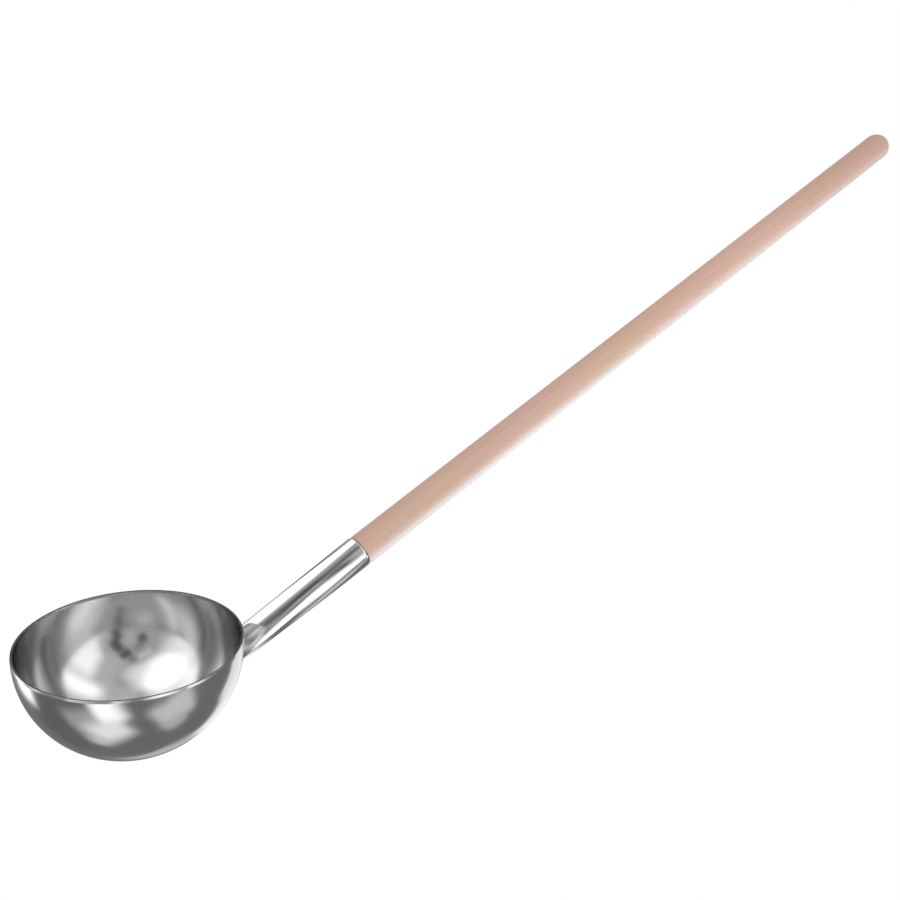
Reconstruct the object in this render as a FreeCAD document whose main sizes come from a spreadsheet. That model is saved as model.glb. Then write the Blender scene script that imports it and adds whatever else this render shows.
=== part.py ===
import FreeCAD, Part
import math
import os

import Sketcher

# A long ladle: a deep round steel bowl, a conical steel socket welded to the bowl's wall,
# the weld around the socket's foot, and a round wooden handle driven into the socket.
#
# The pieces are drawn in the bowl's own frame: the origin is the centre of the round bowl,
# Z is the bowl's axis, and X points to the side that carries the handle.
# All pieces then get one and the same placement, which lays the ladle down as it comes to rest:
# the round bowl tips over until the domed end of the handle touches the surface as well.

# Driving dimensions, in millimetres, and one angle in degrees
SIZES = {
    # The bowl: its outer radius, its sheet, the straight band above the half ball, its rim
    "bowl_radius": 60.0,
    "bowl_wall": 1.2,
    "bowl_collar": 2.4,
    "rim_round": 0.45,
    # The socket: depth of its foot below the rim, climb above the rim's plane, length, radii, sheet
    "joint_drop": 27.4,
    "socket_climb": 25.0,
    "socket_length": 100.0,
    "foot_radius": 8.25,
    "mouth_radius": 10.0,
    "socket_wall": 1.0,
    "mouth_round": 0.8,
    # The weld's leg on each of the two sheets that it joins
    "weld_leg": 2.0,
    # The handle: whole length and radius, the tapered spigot that sits in the socket, and the
    # sloped shoulder that follows it just outside the mouth
    "handle_length": 600.0,
    "handle_radius": 9.75,
    "spigot_length": 70.0,
    "spigot_clearance": 0.2,
    "spigot_chamfer": 1.0,
    "shoulder_length": 0.7,
}

document = FreeCAD.newDocument("Ladle")
sheet = document.addObject("Spreadsheet::Sheet", "Sizes")
for row, (name, size) in enumerate(SIZES.items(), start=1):
    sheet.set(f"A{row}", name)
    sheet.set(f"B{row}", str(size))
    sheet.setAlias(f"B{row}", name)
document.recompute()

# Places along the socket's axis, which starts at the foot, on the bowl's outer wall
FOOT_DEPTH = "(Sizes.joint_drop - Sizes.bowl_collar)"
FOOT_OUT = f"sqrt(Sizes.bowl_radius ^ 2 - {FOOT_DEPTH} ^ 2)"
MOUTH = "Sizes.socket_length"
SPIGOT_START = f"({MOUTH} - Sizes.spigot_length)"
SHOULDER = f"({MOUTH} + Sizes.spigot_clearance)"
TIP = f"({SPIGOT_START} + Sizes.handle_length)"
DOME_START = f"({TIP} - Sizes.handle_radius)"

# Radii of the conical socket and of the spigot that fills it
FLARE = "(Sizes.mouth_radius - Sizes.foot_radius) / Sizes.socket_length"
BLANK_START = "(-Sizes.bowl_radius / 2)"
BLANK_RADIUS = f"(Sizes.foot_radius + {BLANK_START} * {FLARE})"
SPIGOT_MOUTH = "(Sizes.mouth_radius - Sizes.socket_wall - Sizes.spigot_clearance)"
SPIGOT_END = f"({SPIGOT_MOUTH} - Sizes.spigot_length * {FLARE})"

# The rest pose: the bowl's centre is one bowl radius up, the dome's centre one handle radius
DOME_X = f"({FOOT_OUT} + {DOME_START} * cos(Sizes.socket_climb * 1deg))"
DOME_Z = f"({DOME_START} * sin(Sizes.socket_climb * 1deg) - {FOOT_DEPTH})"
DOME_REACH = f"hypot({DOME_X}; {DOME_Z})"
CENTRE_FALL = "(Sizes.bowl_radius - Sizes.handle_radius)"
REST_TILT = f"atan2({DOME_Z}; {DOME_X}) + asin({CENTRE_FALL} / {DOME_REACH})"
BOWL_X = f"({CENTRE_FALL} - sqrt({DOME_REACH} ^ 2 - {CENTRE_FALL} ^ 2)) / 2"

# In a sketch's constraints -1 is its X axis, -2 its Z axis and (-1, 1) its origin,
# and the points 1, 2 and 3 of a side are its start, its end and an arc's centre.

def new_piece(label):
    """Start a piece whose placement lays it down in the rest pose, tipped about Y."""
    piece = document.addObject("PartDesign::Body", label)
    piece.Label = label
    about_y = FreeCAD.Rotation(FreeCAD.Vector(0, 1, 0), 1)
    piece.Placement = FreeCAD.Placement(FreeCAD.Vector(), about_y)
    piece.setExpression("Placement.Base.x", BOWL_X)
    piece.setExpression("Placement.Base.z", "Sizes.bowl_radius")
    piece.setExpression("Placement.Rotation.Angle", REST_TILT)
    return piece


def side_sketch(piece, name, along_socket=False):
    """Start a sketch on the piece's XZ plane, or one whose X runs along the socket's axis."""
    sketch = piece.newObject("Sketcher::SketchObject", name)
    plane = [item for item in piece.Origin.OriginFeatures if item.Role == "XZ_Plane"]
    sketch.AttachmentSupport = [(plane[0], "")]
    sketch.MapMode = "FlatFace"
    if along_socket:
        sketch.setExpression("AttachmentOffset.Base.x", FOOT_OUT)
        sketch.setExpression("AttachmentOffset.Base.y", f"-{FOOT_DEPTH}")
        sketch.setExpression("AttachmentOffset.Rotation.Angle", "Sizes.socket_climb * 1deg")
    return sketch


def add_side(sketch, start, end, centre):
    """Add a line, or an arc about a point of the sketch's X axis; return it and its two ends."""
    if centre is None:
        return sketch.addGeometry(Part.LineSegment(start, end), False), 1, 2
    middle = FreeCAD.Vector(centre, 0, 0)
    turns_left = (start - middle).cross(end - middle).z > 0
    first, last = (start, end) if turns_left else (end, start)
    circle = Part.Circle(middle, FreeCAD.Vector(0, 0, 1), (start - middle).Length)
    angles = [math.atan2(point.y, point.x - centre) for point in (first, last)]
    arc = sketch.addGeometry(Part.ArcOfCircle(circle, *angles), False)
    sketch.addConstraint(Sketcher.Constraint("PointOnObject", arc, 3, -1))
    return (arc, 1, 2) if turns_left else (arc, 2, 1)


def bind_corner(sketch, corner, side, end, axis, formula):
    """Hold one coordinate of a corner at the value of a formula of the sheet's cells."""
    value = float(sketch.evalExpression(formula))
    if abs(value) < 1e-9:
        zero_line = -2 if axis == "X" else -1
        sketch.addConstraint(Sketcher.Constraint("PointOnObject", side, end, zero_line))
        return
    if value > 0:
        distance = Sketcher.Constraint(f"Distance{axis}", -1, 1, side, end, value)
    else:
        distance = Sketcher.Constraint(f"Distance{axis}", side, end, -1, 1, -value)
        formula = f"-({formula})"
    index = sketch.addConstraint(distance)
    sketch.renameConstraint(index, f"corner_{corner}_{axis.lower()}")
    sketch.setExpression(f"Constraints.corner_{corner}_{axis.lower()}", formula)


def draw_outline(sketch, corners):
    """Draw a closed outline. A corner is two formulas, and a third starts an arc about that X."""
    values = [[float(sketch.evalExpression(formula)) for formula in corner] for corner in corners]
    places = [FreeCAD.Vector(value[0], value[1], 0) for value in values]
    sides = []
    for number, value in enumerate(values):
        centre = value[2] if len(value) > 2 else None
        following = places[(number + 1) % len(places)]
        sides.append(add_side(sketch, places[number], following, centre))
    for number, (side, start, end) in enumerate(sides):
        following, following_start, _ = sides[(number + 1) % len(sides)]
        sketch.addConstraint(Sketcher.Constraint("Coincident", side, end, following, following_start))
    for number, (side, start, end) in enumerate(sides):
        bind_corner(sketch, number, side, start, "X", corners[number][0])
        bind_corner(sketch, number, side, start, "Y", corners[number][1])


def turn(piece, kind, name, sketch, axis):
    """Turn a sketch once around an axis of its own, to add a solid or to groove one away."""
    feature = piece.newObject(f"PartDesign::{kind}", name)
    feature.Profile = sketch
    feature.ReferenceAxis = (sketch, [axis])
    feature.Angle = 360
    document.recompute()
    return feature


def bowl_outside(piece, kind, name):
    """Turn the bowl's outer form, filled up to the rim."""
    sketch = side_sketch(piece, f"{name}_outline")
    draw_outline(sketch, [
        ("0", "-Sizes.bowl_radius", "0"),
        ("Sizes.bowl_radius", "0"),
        ("Sizes.bowl_radius", "Sizes.bowl_collar"),
        ("0", "Sizes.bowl_collar"),
    ])
    return turn(piece, kind, name, sketch, "V_Axis")


def socket_outside(piece, kind, name):
    """Turn the socket's outer cone, filled, from well inside the bowl to the mouth."""
    sketch = side_sketch(piece, f"{name}_outline", along_socket=True)
    draw_outline(sketch, [
        (BLANK_START, "0"),
        (MOUTH, "0"),
        (MOUTH, "Sizes.mouth_radius"),
        (BLANK_START, BLANK_RADIUS),
    ])
    return turn(piece, kind, name, sketch, "H_Axis")


def value_of(formula):
    """The number that a formula of the sheet's cells gives."""
    return float(FreeCAD.Units.Quantity(sheet.evalExpression(formula)).Value)


def dress_edges(piece, kind, name, base, width, is_chosen):
    """Put a Fillet or a Chamfer on the edges of a feature that the given test picks."""
    edges = enumerate(base.Shape.Edges, start=1)
    names = [f"Edge{number}" for number, edge in edges if not edge.Degenerated and is_chosen(edge)]
    dressing = piece.newObject(f"PartDesign::{kind}", name)
    dressing.Base = (base, names)
    dressing.setExpression("Radius" if kind == "Fillet" else "Size", width)
    document.recompute()
    print(name, "dresses", len(names), "edges")


def circle_about(point, least_radius=0.0):
    """A test for the edges that are circles about a point, of at least the given radius."""
    def is_chosen(edge):
        if not isinstance(edge.Curve, Part.Circle):
            return False
        return edge.Curve.Center.distanceToPoint(point) < 1e-6 and edge.Curve.Radius > least_radius
    return is_chosen


def make_bowl():
    """The bowl: sheet steel pressed to half a ball with a short straight collar, rim rounded."""
    piece = new_piece("bowl")
    inner = "(Sizes.bowl_radius - Sizes.bowl_wall)"
    sketch = side_sketch(piece, "bowl_section")
    draw_outline(sketch, [
        ("0", "-Sizes.bowl_radius", "0"),
        ("Sizes.bowl_radius", "0"),
        ("Sizes.bowl_radius", "Sizes.bowl_collar"),
        (inner, "Sizes.bowl_collar"),
        (inner, "0", "0"),
        ("0", f"-{inner}"),
    ])
    shell = turn(piece, "Revolution", "bowl_shell", sketch, "V_Axis")
    rim_centre = FreeCAD.Vector(0, 0, value_of("Sizes.bowl_collar"))
    dress_edges(piece, "Fillet", "bowl_rim", shell, "min(Sizes.rim_round; 0.45 * Sizes.bowl_wall)",
                circle_about(rim_centre))
    return piece


def make_socket():
    """The socket: a thin steel cone, its foot cut to sit on the bowl's round wall.

    The mouth's outer edge is rounded off over most of the sheet.
    """
    piece = new_piece("socket_tube")
    sketch = side_sketch(piece, "socket_section", along_socket=True)
    draw_outline(sketch, [
        (BLANK_START, f"({BLANK_RADIUS} - Sizes.socket_wall)"),
        (MOUTH, "(Sizes.mouth_radius - Sizes.socket_wall)"),
        (MOUTH, "Sizes.mouth_radius"),
        (BLANK_START, BLANK_RADIUS),
    ])
    turn(piece, "Revolution", "socket_cone", sketch, "H_Axis")
    coped = bowl_outside(piece, "Groove", "socket_foot")
    mouth_centre = sketch.Placement.multVec(FreeCAD.Vector(value_of(MOUTH), 0, 0))
    dress_edges(piece, "Fillet", "socket_mouth", coped,
                "min(Sizes.mouth_round; 0.85 * Sizes.socket_wall)",
                circle_about(mouth_centre, value_of("Sizes.mouth_radius - Sizes.socket_wall / 2")))
    return piece


def make_weld():
    """The weld: the flat-faced run of metal that fills the corner around the socket's foot.

    The filled bowl and the filled cone are joined, the edge where they meet is filled with
    a sloping face, and both are taken away again, so that only the weld is left.
    """
    piece = new_piece("weld_bead")
    bowl_outside(piece, "Revolution", "weld_bowl")
    joined = socket_outside(piece, "Revolution", "weld_cone")

    def is_foot(edge):
        return isinstance(edge.Curve, Part.BSplineCurve)

    dress_edges(piece, "Chamfer", "weld_fill", joined, "Sizes.weld_leg", is_foot)
    bowl_outside(piece, "Groove", "weld_bowl_away")
    socket_outside(piece, "Groove", "weld_cone_away")
    return piece


def make_handle():
    """The handle: a turned beech rod with a tapered spigot, a small shoulder and a domed end."""
    piece = new_piece("wooden_handle")
    sketch = side_sketch(piece, "handle_section", along_socket=True)
    draw_outline(sketch, [
        (SPIGOT_START, "0"),
        (TIP, "0", DOME_START),
        (DOME_START, "Sizes.handle_radius"),
        (f"({SHOULDER} + Sizes.shoulder_length)", "Sizes.handle_radius"),
        (SHOULDER, SPIGOT_MOUTH),
        (f"({SPIGOT_START} + Sizes.spigot_chamfer)", f"({SPIGOT_END} + Sizes.spigot_chamfer * {FLARE})"),
        (SPIGOT_START, f"({SPIGOT_END} - Sizes.spigot_chamfer)"),
    ])
    turn(piece, "Revolution", "handle_rod", sketch, "H_Axis")
    return piece


pieces = [make_bowl(), make_socket(), make_weld(), make_handle()]
document.recompute()

for item in document.Objects:
    if "Invalid" in item.State or "Error" in item.State:
        raise RuntimeError(f"{item.Name} did not build: {item.State}")
for piece in pieces:
    if piece.Shape.isNull() or not piece.Shape.isValid():
        raise RuntimeError(f"{piece.Label} has no valid solid")

os.makedirs("parts", exist_ok=True)
for piece in pieces:
    piece.Shape.exportStep(f"parts/{piece.Label}.step")
    box = piece.Shape.BoundBox
    print(piece.Label, len(piece.Shape.Solids), "solid,", round(piece.Shape.Volume / 1000, 3), "cm3,",
          [round(n, 2) for n in (box.XMin, box.YMin, box.ZMin, box.XMax, box.YMax, box.ZMax)])
print("rest tilt", round(value_of(REST_TILT), 3), "bowl centre x", round(value_of(BOWL_X), 3))
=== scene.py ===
# %% [markdown]
# # A long ladle: steel bowl, steel socket, wooden handle
# A ladle of this kind dips deep and reaches far. A pressed steel bowl is welded to the
# narrow end of a steel socket, and a long round beech handle is driven into the wide end.
# This lesson dresses the measured model of it. Blender's scene is in metres, while the
# drawing's sizes are in millimetres, so one factor turns the one into the other.

# %% The measured model
import math

import bmesh
import bpy
from mathutils import Matrix, Vector


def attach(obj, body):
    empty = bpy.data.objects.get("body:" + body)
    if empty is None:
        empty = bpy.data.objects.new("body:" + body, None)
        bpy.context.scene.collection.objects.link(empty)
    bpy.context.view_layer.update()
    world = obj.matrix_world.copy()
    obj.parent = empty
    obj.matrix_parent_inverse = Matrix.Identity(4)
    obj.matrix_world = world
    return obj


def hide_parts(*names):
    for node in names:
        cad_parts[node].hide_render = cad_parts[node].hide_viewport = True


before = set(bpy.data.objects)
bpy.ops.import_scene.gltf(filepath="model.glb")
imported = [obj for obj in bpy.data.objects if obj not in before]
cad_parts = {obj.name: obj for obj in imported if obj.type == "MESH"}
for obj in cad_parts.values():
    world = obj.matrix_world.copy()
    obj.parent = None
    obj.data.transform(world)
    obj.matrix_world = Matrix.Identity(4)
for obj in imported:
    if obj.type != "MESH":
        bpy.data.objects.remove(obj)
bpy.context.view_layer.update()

# %% [markdown]
# ## Sizes
# The pieces are built again with finer surfaces, because polished steel shows every facet
# of a measured model. They take the drawing's own sizes, so that they lie where it says.
# The bowl has its origin at the centre of its ball, with Z up to the rim and X towards the
# handle. The socket and the handle have theirs at the middle of the socket's foot, with X
# along their common axis, which climbs by 25 degrees. These are the long sizes. The small
# ones follow with their pieces.

# %% The drawing's long sizes
MM = 0.001
bowl_radius, foot_depth, climb = 60 * MM, 25 * MM, math.radians(25)
socket_length, spigot_length = 100 * MM, 70 * MM
handle_length, handle_radius = 600 * MM, 9.75 * MM
foot_out = math.sqrt(bowl_radius ** 2 - foot_depth ** 2)
tip = socket_length - spigot_length + handle_length
dome_start = tip - handle_radius
print("the socket's foot is", round(foot_out / MM, 2), "mm from the bowl's middle")
print("the handle's dome starts", round(dome_start / MM, 2), "mm from the socket's foot")

# %% [markdown]
# ## How it lies
# Let go, the ladle rolls its round bowl over until the handle's end touches the table too.
# The bowl's centre is then one bowl radius up, and the dome's centre one handle radius.
# Each piece is built upright and gets this one turn and move in its mesh, so that its
# object can stay at the origin.

# %% The place of rest
dome_x = foot_out + dome_start * math.cos(climb)
dome_z = dome_start * math.sin(climb) - foot_depth
reach = math.hypot(dome_x, dome_z)
centre_fall = bowl_radius - handle_radius
rest_tilt = math.atan2(dome_z, dome_x) + math.asin(centre_fall / reach)
bowl_x = (centre_fall - math.sqrt(reach ** 2 - centre_fall ** 2)) / 2
bowl_centre = Matrix.Translation((bowl_x, 0, bowl_radius))
lie_down = bowl_centre @ Matrix.Rotation(rest_tilt, 4, "Y")
along_socket = (lie_down @ Matrix.Translation((foot_out, 0, -foot_depth))
                @ Matrix.Rotation(-climb, 4, "Y"))
print("tilt", round(math.degrees(rest_tilt), 3), "degrees, bowl centre x",
      round(bowl_x / MM, 3), "mm")

# %% [markdown]
# ## From mesh to piece
# Every piece ends the same way: its doubles are merged, its normals turned outwards, its
# place applied to the mesh and its faces smoothed. So one helper does that. Two more find
# the open edges of a shape, and the corners among what an operator hands back.

# %% Helpers for pieces
same_place = 0.001 * MM  # corners that are closer than this are one corner


def finish_piece(name, bm, place):
    """Make the finished shape an object at its place of rest, and hang it on the root."""
    bmesh.ops.remove_doubles(bm, verts=bm.verts, dist=same_place)
    bmesh.ops.recalc_face_normals(bm, faces=bm.faces)
    bmesh.ops.transform(bm, matrix=place, verts=bm.verts)
    for face in bm.faces:
        face.smooth = True
    mesh = bpy.data.meshes.new(name)
    bm.to_mesh(mesh)
    bm.free()
    piece = bpy.data.objects.new(name, mesh)
    bpy.context.collection.objects.link(piece)
    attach(piece, "root")
    print(name, len(mesh.vertices), "corners,", len(mesh.polygons), "faces")
    return piece


def open_edges(bm):
    return [edge for edge in bm.edges if edge.is_boundary]


def corners_of(geometry):
    return [part for part in geometry if isinstance(part, bmesh.types.BMVert)]


print("corners within", same_place / MM, "mm are merged")

# %% [markdown]
# ## The bowl
# The real bowl is pressed from one round sheet, to half a ball with a narrow band at the
# top. A lathe profile could be spun, but a ball that is cut has its rings already, so it is
# cut with a plane, and its open edge is drawn up for the band. The ball is a few hundredths
# of a millimetre smaller than drawn, to stay within the measured model's flat facets. The
# band leans in by a fifth of a millimetre, and a sharp line parts it from the ball: that is
# what makes the light stripe under the rim.

# %% Press the bowl
rim_height, band_foot, band_lean, polish = 2.4 * MM, 1.0 * MM, 0.2 * MM, 0.03 * MM
ball_sides, ball_rings = 256, 128
bm = bmesh.new()
bmesh.ops.create_uvsphere(bm, u_segments=ball_sides, v_segments=ball_rings,
                          radius=bowl_radius - polish)
bmesh.ops.bisect_plane(bm, geom=bm.verts[:] + bm.edges[:] + bm.faces[:], dist=same_place,
                       plane_co=(0, 0, band_foot), plane_no=(0, 0, 1), clear_outer=True)
for edge in open_edges(bm):
    edge.smooth = False
rim = corners_of(bmesh.ops.extrude_edge_only(bm, edges=open_edges(bm))["geom"])
bmesh.ops.translate(bm, vec=(0, 0, rim_height - band_foot), verts=rim)
drawn_in = 1 - band_lean / bowl_radius
bmesh.ops.scale(bm, vec=(drawn_in, drawn_in, 1), verts=rim)
bowl = finish_piece("bowl_sheet", bm, lie_down)

# %% [markdown]
# The sheet gets its thickness inwards, because the outside is the measured side. The rim
# that closes it takes the second material, for its cut edge and its painted dark line. The
# rim's sharp edges are then broken with a small round, which catches the bright line along
# them.

# %% Give the sheet its thickness
bowl_wall, rim_break = 1.2 * MM, 0.12 * MM
sharp, break_steps = math.radians(60), 4
thick = bowl.modifiers.new("sheet", "SOLIDIFY")
thick.thickness = bowl_wall
thick.offset = -1
# the rim gets the edge material, whose dark grey is a painted dark reflection
thick.material_offset_rim = 1
broken = bowl.modifiers.new("rim", "BEVEL")
broken.limit_method = "ANGLE"
broken.angle_limit = sharp
broken.width = rim_break
broken.segments = break_steps
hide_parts("bowl")
print("the bowl's sheet is", round(thick.thickness / MM, 2), "mm thick")

# %% [markdown]
# ## The socket
# The socket is a sheet cone. Its section is four corners that are spun around the axis. Its
# foot is cut to the bowl's round wall, so each corner of the foot has to slide along its own
# slanted side until it lies on that ball. No operator does that, so a helper works it out.

# %% Where a side meets the bowl
foot_radius, mouth_radius = 8.25 * MM, 10 * MM
flare = (mouth_radius - foot_radius) / socket_length
ball = Vector((-foot_out * math.cos(climb) + foot_depth * math.sin(climb), 0,
               foot_out * math.sin(climb) + foot_depth * math.cos(climb)))


def slide_to_bowl(corner):
    """Move a foot corner along its slanted side, to where it meets the bowl's ball."""
    side = Vector((1, corner.co.y * flare / foot_radius, corner.co.z * flare / foot_radius))
    away = corner.co - ball
    middle = -away.dot(side) / side.length_squared
    beyond = (away.length_squared - bowl_radius ** 2) / side.length_squared
    corner.co += side * (middle + math.sqrt(middle ** 2 - beyond))


print("from the socket's foot, the ball's centre is at", [round(n / MM, 2) for n in ball], "mm")

# %% [markdown]
# The mouth's outer edge is rounded over most of the sheet, and the round is drawn out to
# twice its length, because burnishing makes a lip longer than it is deep. The last half
# millimetre stays a dull cut edge, so its faces are marked for a second material, whose
# dark grey is painted dark reflection and shade at the mouth.

# %% Spin and cope the socket
socket_wall, mouth_round, cut_edge_painted_dark = 1.0 * MM, 0.8 * MM, 0.5 * MM
socket_sides, lip_steps, lip_stretch = 160, 6, 2
bm = bmesh.new()
section = [(0, foot_radius - socket_wall), (socket_length, mouth_radius - socket_wall),
           (socket_length, mouth_radius), (0, foot_radius)]
ring = [bm.verts.new((x, 0, radius)) for x, radius in section]
for number, corner in enumerate(ring):
    bm.edges.new((corner, ring[(number + 1) % len(ring)]))
bmesh.ops.spin(bm, geom=bm.verts[:] + bm.edges[:], cent=(0, 0, 0), axis=(1, 0, 0),
               angle=math.tau, steps=socket_sides, use_merge=True)
lip = [edge for edge in bm.edges
       if all(abs(end.co.x - socket_length) < same_place
              and abs(end.co.yz.length - mouth_radius) < same_place for end in edge.verts)]
bmesh.ops.bevel(bm, geom=lip, offset=mouth_round, offset_type="OFFSET", affect="EDGES",
                segments=lip_steps, profile=0.5, material=-1)
for corner in bm.verts:
    back = socket_length - corner.co.x
    if 0 < back < mouth_round + same_place:
        corner.co.x = socket_length - lip_stretch * back
    if abs(corner.co.x) < same_place:
        slide_to_bowl(corner)
# the mouth's last half millimetre gets the edge material with painted dark reflection and shade
for face in bm.faces:
    if face.calc_center_median().x > socket_length - cut_edge_painted_dark:
        face.material_index = 1
socket = finish_piece("socket_cone", bm, along_socket)
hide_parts("socket_tube")

# %% [markdown]
# ## The weld
# A run of weld goes around the socket's foot and fills its corner with a hollow round. The
# measured model has its shape already, so a copy of that is taken, with its loose
# triangles merged, so that it can be smoothed.

# %% Copy the weld
bm = bmesh.new()
bm.from_mesh(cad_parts["weld_bead"].data)
weld = finish_piece("weld_run", bm, Matrix())
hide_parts("weld_bead")

# %% [markdown]
# ## The handle
# A beech rod is turned on a lathe: its far end is a half ball, and its near end steps down
# to a slim spigot inside the socket. So the piece starts as that half ball, and its open
# edge is drawn back along the axis, once for each step of the turning.

# %% Turn the handle
fit_gap, shoulder_length, spigot_chamfer = 0.2 * MM, 0.7 * MM, 1.0 * MM
rod_sides, dome_rings = 128, 64
bm = bmesh.new()
bmesh.ops.create_uvsphere(bm, u_segments=rod_sides, v_segments=dome_rings,
                          radius=handle_radius, matrix=Matrix.Rotation(math.pi / 2, 4, "Y"))
bmesh.ops.bisect_plane(bm, geom=bm.verts[:] + bm.edges[:] + bm.faces[:], dist=same_place,
                       plane_co=(0, 0, 0), plane_no=(1, 0, 0), clear_inner=True)
bmesh.ops.translate(bm, vec=(dome_start, 0, 0), verts=bm.verts)
spigot_mouth = mouth_radius - socket_wall - fit_gap
spigot_end = spigot_mouth - spigot_length * flare
spigot_start = socket_length - spigot_length
steps = [(socket_length + fit_gap + shoulder_length, handle_radius),
         (socket_length + fit_gap, spigot_mouth),
         (spigot_start + spigot_chamfer, spigot_end + spigot_chamfer * flare),
         (spigot_start, spigot_end - spigot_chamfer)]
x, radius = dome_start, handle_radius
for next_x, next_radius in steps:
    drawn = corners_of(bmesh.ops.extrude_edge_only(bm, edges=open_edges(bm))["geom"])
    thinner = next_radius / radius
    bmesh.ops.translate(bm, vec=(next_x - x, 0, 0), verts=drawn)
    bmesh.ops.scale(bm, vec=(1, thinner, thinner), verts=drawn)
    x, radius = next_x, next_radius
bmesh.ops.contextual_create(bm, geom=open_edges(bm))
handle = finish_piece("beech_handle", bm, along_socket)
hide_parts("wooden_handle")

# %% [markdown]
# ## Materials
# Colours are chosen as hex values, as on a screen, and one function turns them to the
# linear numbers that the shaders take. One more adds a node with its settings and links,
# and hands back the output that the next node takes.
#
# The patterns are noises on the object's own coordinates, whose X runs along the ladle. A
# noise has spots about one unit wide, so a Mapping node that divides by the real length and
# width, in millimetres, gives it its size.

# %% Helpers for materials
def colour(text):
    """A screen colour such as #c8a07f as linear red, green, blue and alpha."""
    parts = [int(text[place:place + 2], 16) / 255 for place in (1, 3, 5)]
    return (*[p / 12.92 if p <= 0.04045 else ((p + 0.055) / 1.055) ** 2.4 for p in parts], 1)


def add_node(tree, kind, output=0, settings={}, inputs={}):
    """Add a node and hand back one of its outputs, by number or by name.

    An input is a plain value, or another node's output, which is then linked to it.
    """
    node = tree.nodes.new(kind)
    for name, value in settings.items():
        setattr(node, name, value)
    for name, value in inputs.items():
        if isinstance(value, bpy.types.NodeSocket):
            tree.links.new(value, node.inputs[name])
        else:
            node.inputs[name].default_value = value
    return node.outputs[output] if node.outputs else None


def new_material(name):
    """An empty material, and the node tree that it is built in."""
    material = bpy.data.materials.new(name)
    material.use_nodes = True
    material.node_tree.nodes.clear()
    return material, material.node_tree


print("the grey #808080 is", round(colour("#808080")[0], 3), "in linear light")

# %% [markdown]
# ## Polished stainless steel
# The bowl and the socket are stainless sheet, polished with a buff until they mirror the
# room, though softly. Pressing leaves the bowl a little wavy, which bends the mirrored
# boxes out of true, while the rolled socket is nearly straight. Use leaves smears of about
# 16 mm, which only change how sharp the mirror is. The buff's own lines are a hundredth of
# a millimetre wide, too fine to show, so they are drawn coarser, as faint marks of 6 by
# 1.2 mm.

# %% Polished stainless steel
for piece, name, wave_length, wave_height in ((bowl, "polished_pressed_steel", 34, 0.13),
                                              (socket, "polished_rolled_steel", 60, 0.05)):
    steel, tree = new_material(name)
    place = add_node(tree, "ShaderNodeTexCoord", "Object")
    noise = {}
    for pattern, length, width, seed, detail in (("smears", 16, 16, 3.1, 2),
                                                 ("waves", wave_length, wave_length, 7.7, 1),
                                                 ("marks", 6, 1.2, 1.9, 2)):
        scaled = add_node(tree, "ShaderNodeMapping", inputs={
            "Vector": place, "Scale": (1 / (length * MM), 1 / (width * MM), 1 / (width * MM))})
        noise[pattern] = add_node(tree, "ShaderNodeTexNoise", 0, {"noise_dimensions": "4D"}, {
            "Vector": scaled, "W": seed, "Scale": 1.0, "Detail": detail})
    smears = add_node(tree, "ShaderNodeMapRange", inputs={
        "Value": noise["smears"], "From Min": 0.35, "From Max": 0.7,
        "To Min": 0.13, "To Max": 0.18})
    waves = add_node(tree, "ShaderNodeBump", inputs={
        "Height": noise["waves"], "Distance": wave_height * MM, "Strength": 1.0})
    marks = add_node(tree, "ShaderNodeBump", inputs={
        "Height": noise["marks"], "Distance": 0.003 * MM, "Strength": 1.0, "Normal": waves})
    surface = add_node(tree, "ShaderNodeBsdfPrincipled", inputs={
        "Base Color": colour("#c5c5c6"), "Metallic": 1.0, "Roughness": smears, "Normal": marks})
    add_node(tree, "ShaderNodeOutputMaterial", inputs={"Surface": surface})
    piece.data.materials.append(steel)
    print(name, "is on", piece.name)

# %% [markdown]
# ## The cut edges
# A buff slides over the rim's narrow top without polishing it, so this cut edge stays dull
# from the grinding wheel. Its dark grey is painted, though: a painted dark reflection along
# the rim, the thin dark line inside the light stripe. The socket's mouth has such an edge
# too, where the same painted dark reflection and shade make a thin grey line against the
# wood. The wheel's scratches run across the sheet, and are drawn a quarter of a millimetre
# wide to show.

# %% Ground steel edge, with painted dark reflection and shade
edge_steel_painted_dark, tree = new_material("ground_edge_painted_dark")
place = add_node(tree, "ShaderNodeTexCoord", "Object")
scratches = add_node(tree, "ShaderNodeTexNoise", inputs={
    "Vector": place, "Scale": 1 / (0.25 * MM), "Detail": 1.0})
dullness = add_node(tree, "ShaderNodeMapRange", inputs={
    "Value": scratches, "From Min": 0.3, "From Max": 0.7, "To Min": 0.36, "To Max": 0.52})
# the dark grey base is painted shade and painted dark reflection; only the dullness is the edge's
# own
surface = add_node(tree, "ShaderNodeBsdfPrincipled", inputs={
    "Base Color": colour("#525254"), "Metallic": 1.0, "Roughness": dullness})
add_node(tree, "ShaderNodeOutputMaterial", inputs={"Surface": surface})
for piece in (bowl, socket):
    piece.data.materials.append(edge_steel_painted_dark)
    print("materials on", piece.name, [slot.name for slot in piece.material_slots])

# %% [markdown]
# ## Weld metal
# The weld was brushed clean but not polished, so beside the steel it looks grey and dull.
# Each drop that froze left a ripple about 1.3 mm wide, and the heat left straw tints in
# spots of about 5 mm.

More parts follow.
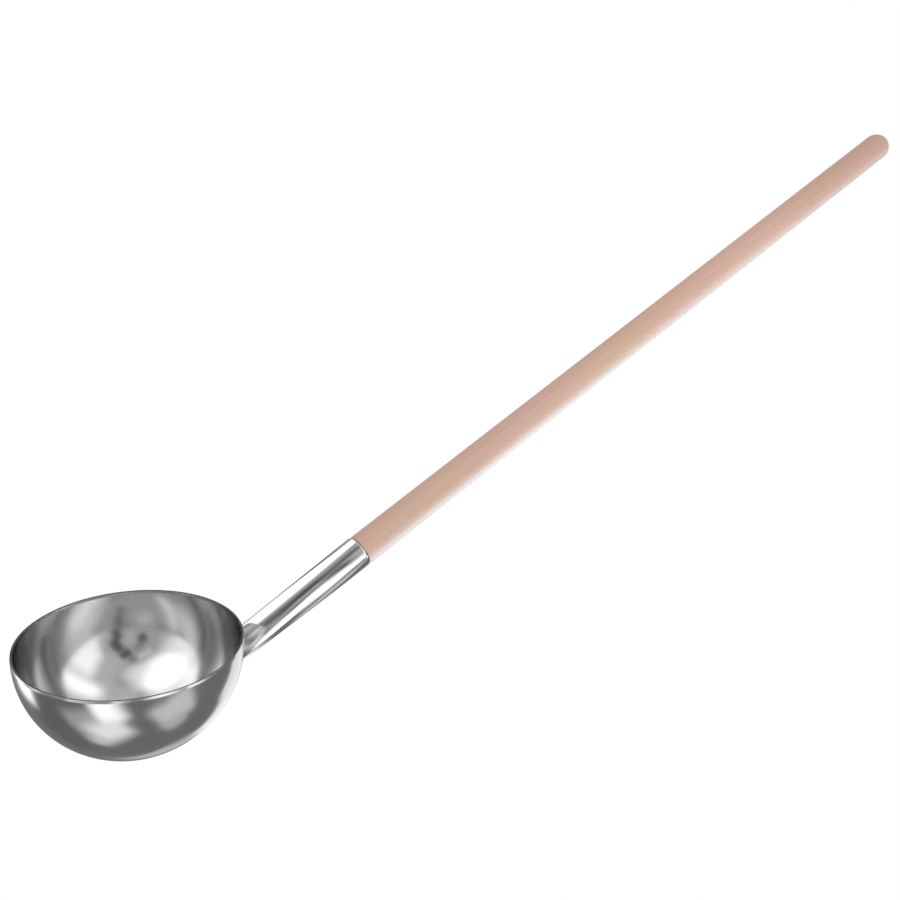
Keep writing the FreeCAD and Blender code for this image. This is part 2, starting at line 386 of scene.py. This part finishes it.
# %% Weld metal
weld_metal, tree = new_material("brushed_weld_metal")
place = add_node(tree, "ShaderNodeTexCoord", "Object")
noise = {}
for pattern, size, seed, detail in (("ripples", 1.3, 5.2, 1), ("tint", 5, 2.4, 2)):
    scaled = add_node(tree, "ShaderNodeMapping", inputs={
        "Vector": place, "Scale": [1 / (size * MM)] * 3})
    noise[pattern] = add_node(tree, "ShaderNodeTexNoise", 0, {"noise_dimensions": "4D"}, {
        "Vector": scaled, "W": seed, "Scale": 1.0, "Detail": detail})
ripples = add_node(tree, "ShaderNodeBump", inputs={
    "Height": noise["ripples"], "Distance": 0.25 * MM, "Strength": 1.0})
amount = add_node(tree, "ShaderNodeMapRange", inputs={
    "Value": noise["tint"], "From Min": 0.4, "From Max": 0.7, "To Min": 0.0, "To Max": 1.0})
tint = add_node(tree, "ShaderNodeMix", 2, {"data_type": "RGBA"}, {
    0: amount, 6: colour("#a7a6a6"), 7: colour("#a89c8c")})
surface = add_node(tree, "ShaderNodeBsdfPrincipled", inputs={
    "Base Color": tint, "Metallic": 1.0, "Roughness": 0.36, "Normal": ripples})
add_node(tree, "ShaderNodeOutputMaterial", inputs={"Surface": surface})
weld.data.materials.append(weld_metal)
print("weld metal is on", weld.name)

# %% [markdown]
# ## Beech
# The handle is bare, sanded beech: even in tone, between pink and tan in soft patches of
# about 55 mm, with faint straight lines of growth 1.8 mm apart. Its short dark rays, about
# 2 mm long, are what tells beech from other pale woods when seen close. The fibres are only
# a fiftieth of a millimetre wide, so they are drawn a quarter of a millimetre wide to show.
# They are also what makes the sheen uneven and the surface a little rough.
#
# Each pattern below mixes its tone into the wood so far: its length and width in
# millimetres, its seed and detail, the part of the noise that shows, how much of the tone
# it gives at most, and the tone.

# %% Bare beech
beech, tree = new_material("bare_beech")
place = add_node(tree, "ShaderNodeTexCoord", "Object")
wood = colour("#d3ac9d")
for length, width, seed, detail, low, high, most, tone in (
        (55, 16, 0.4, 1, 0.4, 0.62, 1.0, "#cfae97"),     # patches
        (140, 1.8, 4.3, 3, 0.42, 0.72, 0.32, "#bd9079"),  # growth lines
        (2.2, 0.4, 9.1, 1, 0.6, 0.74, 0.34, "#ae7f66"),   # rays
        (14, 0.25, 6.6, 2, 0.3, 0.75, 0.22, "#dcbfae")):  # fibres, which come last
    scaled = add_node(tree, "ShaderNodeMapping", inputs={
        "Vector": place, "Scale": (1 / (length * MM), 1 / (width * MM), 1 / (width * MM))})
    figure = add_node(tree, "ShaderNodeTexNoise", 0, {"noise_dimensions": "4D"}, {
        "Vector": scaled, "W": seed, "Scale": 1.0, "Detail": detail})
    amount = add_node(tree, "ShaderNodeMapRange", inputs={
        "Value": figure, "From Min": low, "From Max": high, "To Min": 0.0, "To Max": most})
    wood = add_node(tree, "ShaderNodeMix", 2, {"data_type": "RGBA"}, {
        0: amount, 6: wood, 7: colour(tone)})
dryness = add_node(tree, "ShaderNodeMapRange", inputs={
    "Value": figure, "From Min": low, "From Max": high, "To Min": 0.52, "To Max": 0.62})
raised = add_node(tree, "ShaderNodeBump", inputs={
    "Height": figure, "Distance": 0.02 * MM, "Strength": 1.0})
print("the beech's finest pattern is drawn", width, "mm wide")

# %% [markdown]
# Towards its end, where it is held, the wood has darkened a little from hands. That comes
# on slowly along the ladle, so it is one more tone, mixed in by X and eased at both ends.

# %% The held end, and the finished wood
grip_start, grip_full = 170 * MM, 380 * MM
along = add_node(tree, "ShaderNodeSeparateXYZ", "X", inputs={"Vector": place})
held = add_node(tree, "ShaderNodeMapRange", 0, {"interpolation_type": "SMOOTHSTEP"}, {
    "Value": along, "From Min": grip_start, "From Max": grip_full,
    "To Min": 0.0, "To Max": 0.3})
wood = add_node(tree, "ShaderNodeMix", 2, {"data_type": "RGBA"}, {
    0: held, 6: wood, 7: colour("#8a5f4c")})
surface = add_node(tree, "ShaderNodeBsdfPrincipled", inputs={
    "Base Color": wood, "Roughness": dryness, "Normal": raised})
add_node(tree, "ShaderNodeOutputMaterial", inputs={"Surface": surface})
handle.data.materials.append(beech)
print("beech is on", handle.name)

# %% [markdown]
# ## The table
# The ladle lies on a table of plain white paper. The paper glows evenly, so that it comes
# out as white as the backdrop. Only the camera sees it: to the steel's underside it would
# hide the light of the room.

# %% The table
table_half = 6  # metres from its middle to each side
bm = bmesh.new()
bmesh.ops.create_grid(bm, x_segments=1, y_segments=1, size=table_half)
mesh = bpy.data.meshes.new("table")
bm.to_mesh(mesh)
bm.free()
table = bpy.data.objects.new("table", mesh)
bpy.context.collection.objects.link(table)
paper, tree = new_material("white_paper")
glow = add_node(tree, "ShaderNodeEmission", inputs={"Color": colour("#ffffff"), "Strength": 1.0})
add_node(tree, "ShaderNodeOutputMaterial", inputs={"Surface": glow})
table.data.materials.append(paper)
table.visible_glossy = table.visible_diffuse = table.visible_shadow = False
print("table", [round(size, 2) for size in table.dimensions], "m")

# %% [markdown]
# ## The studio
# Polished steel has no colour of its own: what it shows is the room. A studio lights it with
# large soft boxes and keeps it in shape with grey and black cards, and the list below is
# such a set. Each line is one box or card, seen from the ladle: its direction (azimuth and
# height), half its width and height, how soft its edge is, all in degrees, and its
# brightness. A later line covers the ones before it, as a card stands before a box. Azimuth
# is counted from Y towards X, where the handle points.

# %% The boxes and cards
studio_base = 0.30  # the brightness of the room between them
studio = [
    ("table side", 0, -50, 200, 52, 12, 0.22),
    ("back wall", 38, 26, 102, 41, 26, 0.89),
    ("ceiling", 0, 93, 200, 19, 3, 0.56),
    ("ceiling, left", -80, 73, 42, 8, 13, 0.55),
    ("left wall", -104, 42, 34, 9, 11, 0.66),
    ("grey card", 133, 49, 37, 23, 9, 0.71),
    ("narrow box", 109, 13, 8, 23, 18, 2.10),
    ("front box", 176, -4, 28, 18, 13, 1.95),
    ("right box", 140, 10, 16, 14, 16, 1.65),
    ("front card", -159, 38, 21, 23, 7, 0.56),
    ("high black card", 198, 63, 71, 12, 21, 0.22),
    ("small card", 178, 21, 20, 15, 13, 0.66),
    ("left black card", -81, -24, 35, 24, 9, 0.18),
    ("left grey card", -97, -26, 14, 15, 12, 0.55),
    ("left box", -127, -17, 15, 15, 10, 1.90),
    ("left reflector", -110, -38, 17, 12, 16, 1.30),
    ("lower reflector", -88, -45, 8, 6, 10, 0.95),
    ("low black card", -152, -36, 16, 46, 20, 0.22),
    ("low reflector", 183, -50, 25, 15, 14, 0.88),
    ("low streak", -165, -66, 19, 7, 14, 0.71),
    ("lowest card", -12, -64, 20, 10, 12, 0.66),
    ("small box", -43, -11, 11, 7, 10, 2.20),
    ("side streak", -61, 8, 5, 8, 6, 1.20),
    ("back reflector", 42, -51, 36, 19, 8, 1.20),
    ("edge card", 27, -30, 20, 16, 5, 0.30),
    ("upper edge card", 6, -8, 20, 13, 8, 0.30),
    ("black strip", -153, 67, 24, 11, 7, 0.15),
    ("light strip", -163, 51, 13, 3, 5, 0.85),
    ("grey strip", -166, 41, 8, 4, 4, 0.36),
    ("rim reflector", 125, -29, 34, 6, 6, 1.70),
    ("left rim reflector", -120, 15, 24, 7, 6, 1.50),
    ("front rim reflector", -160, 4, 22, 5, 5, 1.60),
    ("lower strip", -171, -27, 4, 9, 6, 0.30),
    ("black card, low", 180, 17, 5, 6, 5, 0.09),
    ("black card, middle", 172, 26, 6, 8, 5, 0.09),
    ("black card, high", 173, 39, 8, 4, 5, 0.10),
    ("thin black card", -157, 35, 6, 5, 5, 0.14),
    ("dark post, low", 8, 13, 7, 7, 6, 0.09),
    ("dark post, middle", 16, 25, 7, 7, 7, 0.10),
    ("dark post, high", 29, 38, 7, 8, 9, 0.30),
    ("back lamp", 57, 3, 13, 10, 8, 1.40),
    ("arc reflector", 54, -17, 22, 13, 8, 1.00),
]
print("soft boxes and cards:", len(studio))

# %% [markdown]
# All of it is painted on the world, which costs far less than so many real sheets. For each
# box or card, two smooth steps say how far inside its width and its height a direction is,
# and their product mixes its brightness into the room so far. The camera itself sees plain
# white.

# %% Paint the studio on the world
world = bpy.data.worlds.new("studio")
bpy.context.scene.world = world
world.use_nodes = True
tree = world.node_tree
tree.nodes.clear()
direction = add_node(tree, "ShaderNodeTexCoord", "Generated")
parts = add_node(tree, "ShaderNodeSeparateXYZ", inputs={"Vector": direction}).node.outputs
around = add_node(tree, "ShaderNodeMath", 0, {"operation": "ARCTAN2"}, {
    0: parts["X"], 1: parts["Y"]})
height = add_node(tree, "ShaderNodeMath", 0, {"operation": "ARCSINE"}, {0: parts["Z"]})
level = studio_base
for name, azimuth, up, half_width, half_height, soft, brightness in studio:
    inside = 1.0
    for angle, middle, half in ((around, azimuth, half_width), (height, up, half_height)):
        away = add_node(tree, "ShaderNodeMath", 0, {"operation": "SUBTRACT"}, {
            0: angle, 1: math.radians(middle)})
        away = add_node(tree, "ShaderNodeMath", 0, {"operation": "WRAP"}, {
            0: away, 1: math.pi, 2: -math.pi})
        away = add_node(tree, "ShaderNodeMath", 0, {"operation": "ABSOLUTE"}, {0: away})
        inside = add_node(tree, "ShaderNodeMapRange", 0, {"interpolation_type": "SMOOTHSTEP"}, {
            "Value": away, "From Min": math.radians(half + soft / 2),
            "From Max": math.radians(half - soft / 2), "To Min": 0.0, "To Max": inside})
    level = add_node(tree, "ShaderNodeMix", 0, {"data_type": "FLOAT"}, {
        0: inside, 2: level, 3: brightness})
looked_at = add_node(tree, "ShaderNodeLightPath", "Is Camera Ray")
room = add_node(tree, "ShaderNodeBackground", inputs={
    "Color": colour("#ffffff"), "Strength": level})
plain = add_node(tree, "ShaderNodeBackground", inputs={
    "Color": colour("#ffffff"), "Strength": 1.0})
either = add_node(tree, "ShaderNodeMixShader", inputs={0: looked_at, 1: room, 2: plain})
add_node(tree, "ShaderNodeOutputWorld", inputs={"Surface": either})
print("nodes in the studio:", len(tree.nodes))

# %% [markdown]
# ## Light for one piece
# The socket needs the black strip overhead for its dark band, but the bowl needs a bright
# ceiling, and for the socket's white stripe it is the other way round. In a studio they
# would be lit in turn. Here four soft boxes stand around, two for the bowl and two for the
# socket, and only that piece sees them: Blender calls that light linking. A box is a flat
# sheet that glows and lets the room behind it through.

# %% A soft box
box_away = 2.0    # metres from the bowl
full_glow = 0.45  # the share of its half width within which a box glows fully


def aim(azimuth, up):
    """The turn of a light that comes from this direction, in degrees; it looks along Z."""
    return (Matrix.Rotation(math.radians(-azimuth), 4, "Z")
            @ Matrix.Rotation(math.radians(up + 90), 4, "X"))


def light_only(light, piece):
    """Let this light reach one piece alone."""
    seen_by = bpy.data.collections.new("lit by " + light.name)
    seen_by.objects.link(piece)
    light.light_linking.receiver_collection = seen_by


def soft_box(name, piece, azimuth, up, half_width, half_height, brightness):
    """A glowing sheet that faces the bowl and fades towards its edge; one piece sees it."""
    bm = bmesh.new()
    bmesh.ops.create_grid(bm, x_segments=1, y_segments=1, size=1)
    sheet = bpy.data.meshes.new(name)
    bm.to_mesh(sheet)
    bm.free()
    box = bpy.data.objects.new(name, sheet)
    bpy.context.collection.objects.link(box)
    material, tree = new_material(name + "_cloth")
    spot = add_node(tree, "ShaderNodeTexCoord", "Object")
    from_middle = add_node(tree, "ShaderNodeVectorMath", "Value", {"operation": "LENGTH"}, {
        0: spot})
    fade = add_node(tree, "ShaderNodeMapRange", 0, {"interpolation_type": "SMOOTHSTEP"}, {
        "Value": from_middle, "From Min": 1.0, "From Max": full_glow,
        "To Min": 0.0, "To Max": brightness})
    white = colour("#ffffff")
    glow = add_node(tree, "ShaderNodeEmission", inputs={"Color": white, "Strength": fade})
    see_through = add_node(tree, "ShaderNodeBsdfTransparent", inputs={"Color": white})
    both = add_node(tree, "ShaderNodeAddShader", inputs={0: glow, 1: see_through})
    add_node(tree, "ShaderNodeOutputMaterial", inputs={"Surface": both})
    sheet.materials.append(material)
    stretch = [box_away * math.tan(math.radians(half)) for half in (half_width, half_height)]
    box.matrix_world = (bowl_centre @ aim(azimuth, up) @ Matrix.Translation((0, 0, -box_away))
                        @ Matrix.Diagonal((*stretch, 1, 1)))
    box.visible_camera = box.visible_shadow = False
    light_only(box, piece)
    return box


print("a soft box stands", box_away, "m from the bowl")

# %% [markdown]
# Each line is one box: its name, its piece, its azimuth and height, half its width and
# height in degrees, and its brightness.

# %% Four soft boxes
for settings in (("left_ceiling_box", bowl, -78, 67, 40, 43, 0.88),
                 ("ceiling_box", bowl, -146, 76, 42, 23, 1.0),
                 ("front_box", socket, -165, 13, 34, 22, 1.6),
                 ("back_box", socket, 0, 50, 40, 38, 1.8)):
    box = soft_box(*settings)
    print(box.name, "stands at", [round(n, 2) for n in box.matrix_world.translation])

# %% [markdown]
# The wood gets two lamps of its own in the same way. One shines up, as from a brightly lit
# table, and washes out the handle's lower side. The other is a weak fill from the camera's
# side. They are suns, because a sun lights the whole long handle evenly, and they are wide,
# so that no hard edge runs along it.

# %% Lamps for the wood alone
sun_width = math.radians(40)
for name, azimuth, up, strength, tint in (("table_glow", 180, -74, 1.4, "#b1e3ff"),
                                          ("wood_fill", -150, 50, 0.27, "#ffffff")):
    lamp = bpy.data.lights.new(name, "SUN")
    lamp.color = colour(tint)[:3]
    lamp.energy, lamp.angle = strength * math.pi, sun_width
    sun = bpy.data.objects.new(name, lamp)
    bpy.context.collection.objects.link(sun)
    sun.matrix_world = aim(azimuth, up) @ Matrix.Rotation(math.pi, 4, "X")
    light_only(sun, handle)
    print(name, "shines from", [round(n, 2) for n in sun.matrix_world.to_3x3() @ Vector((0, 0, 1))])

# %% [markdown]
# ## The camera
# The camera stands as it stood for the photograph: its place, turn and lens were fitted to
# the outlines of the bowl, the socket and the handle. It looks down on the table, and is
# rolled so that the handle runs up to the corner. The Standard view keeps white paper white.

# %% The camera
camera_place = (-0.34939, -0.52876, 0.42002)  # metres
looks_towards, looks_down, roll = (math.radians(turn) for turn in (26.641, 33.299, -22.509))
camera_data = bpy.data.cameras.new("camera")
camera_data.sensor_width = 36  # millimetres, as the lens
camera_data.lens = 45.894
camera = bpy.data.objects.new("camera", camera_data)
bpy.context.collection.objects.link(camera)
camera.matrix_world = (Matrix.Translation(camera_place)
                       @ Matrix.Rotation(-looks_towards, 4, "Z")
                       @ Matrix.Rotation(math.pi / 2 - looks_down, 4, "X")
                       @ Matrix.Rotation(roll, 4, "Z"))
bpy.context.scene.camera = camera
bpy.context.scene.view_settings.view_transform = "Standard"
view = camera.matrix_world.to_3x3() @ Vector((0, 0, -1))
print("the camera looks along", [round(n, 4) for n in view])
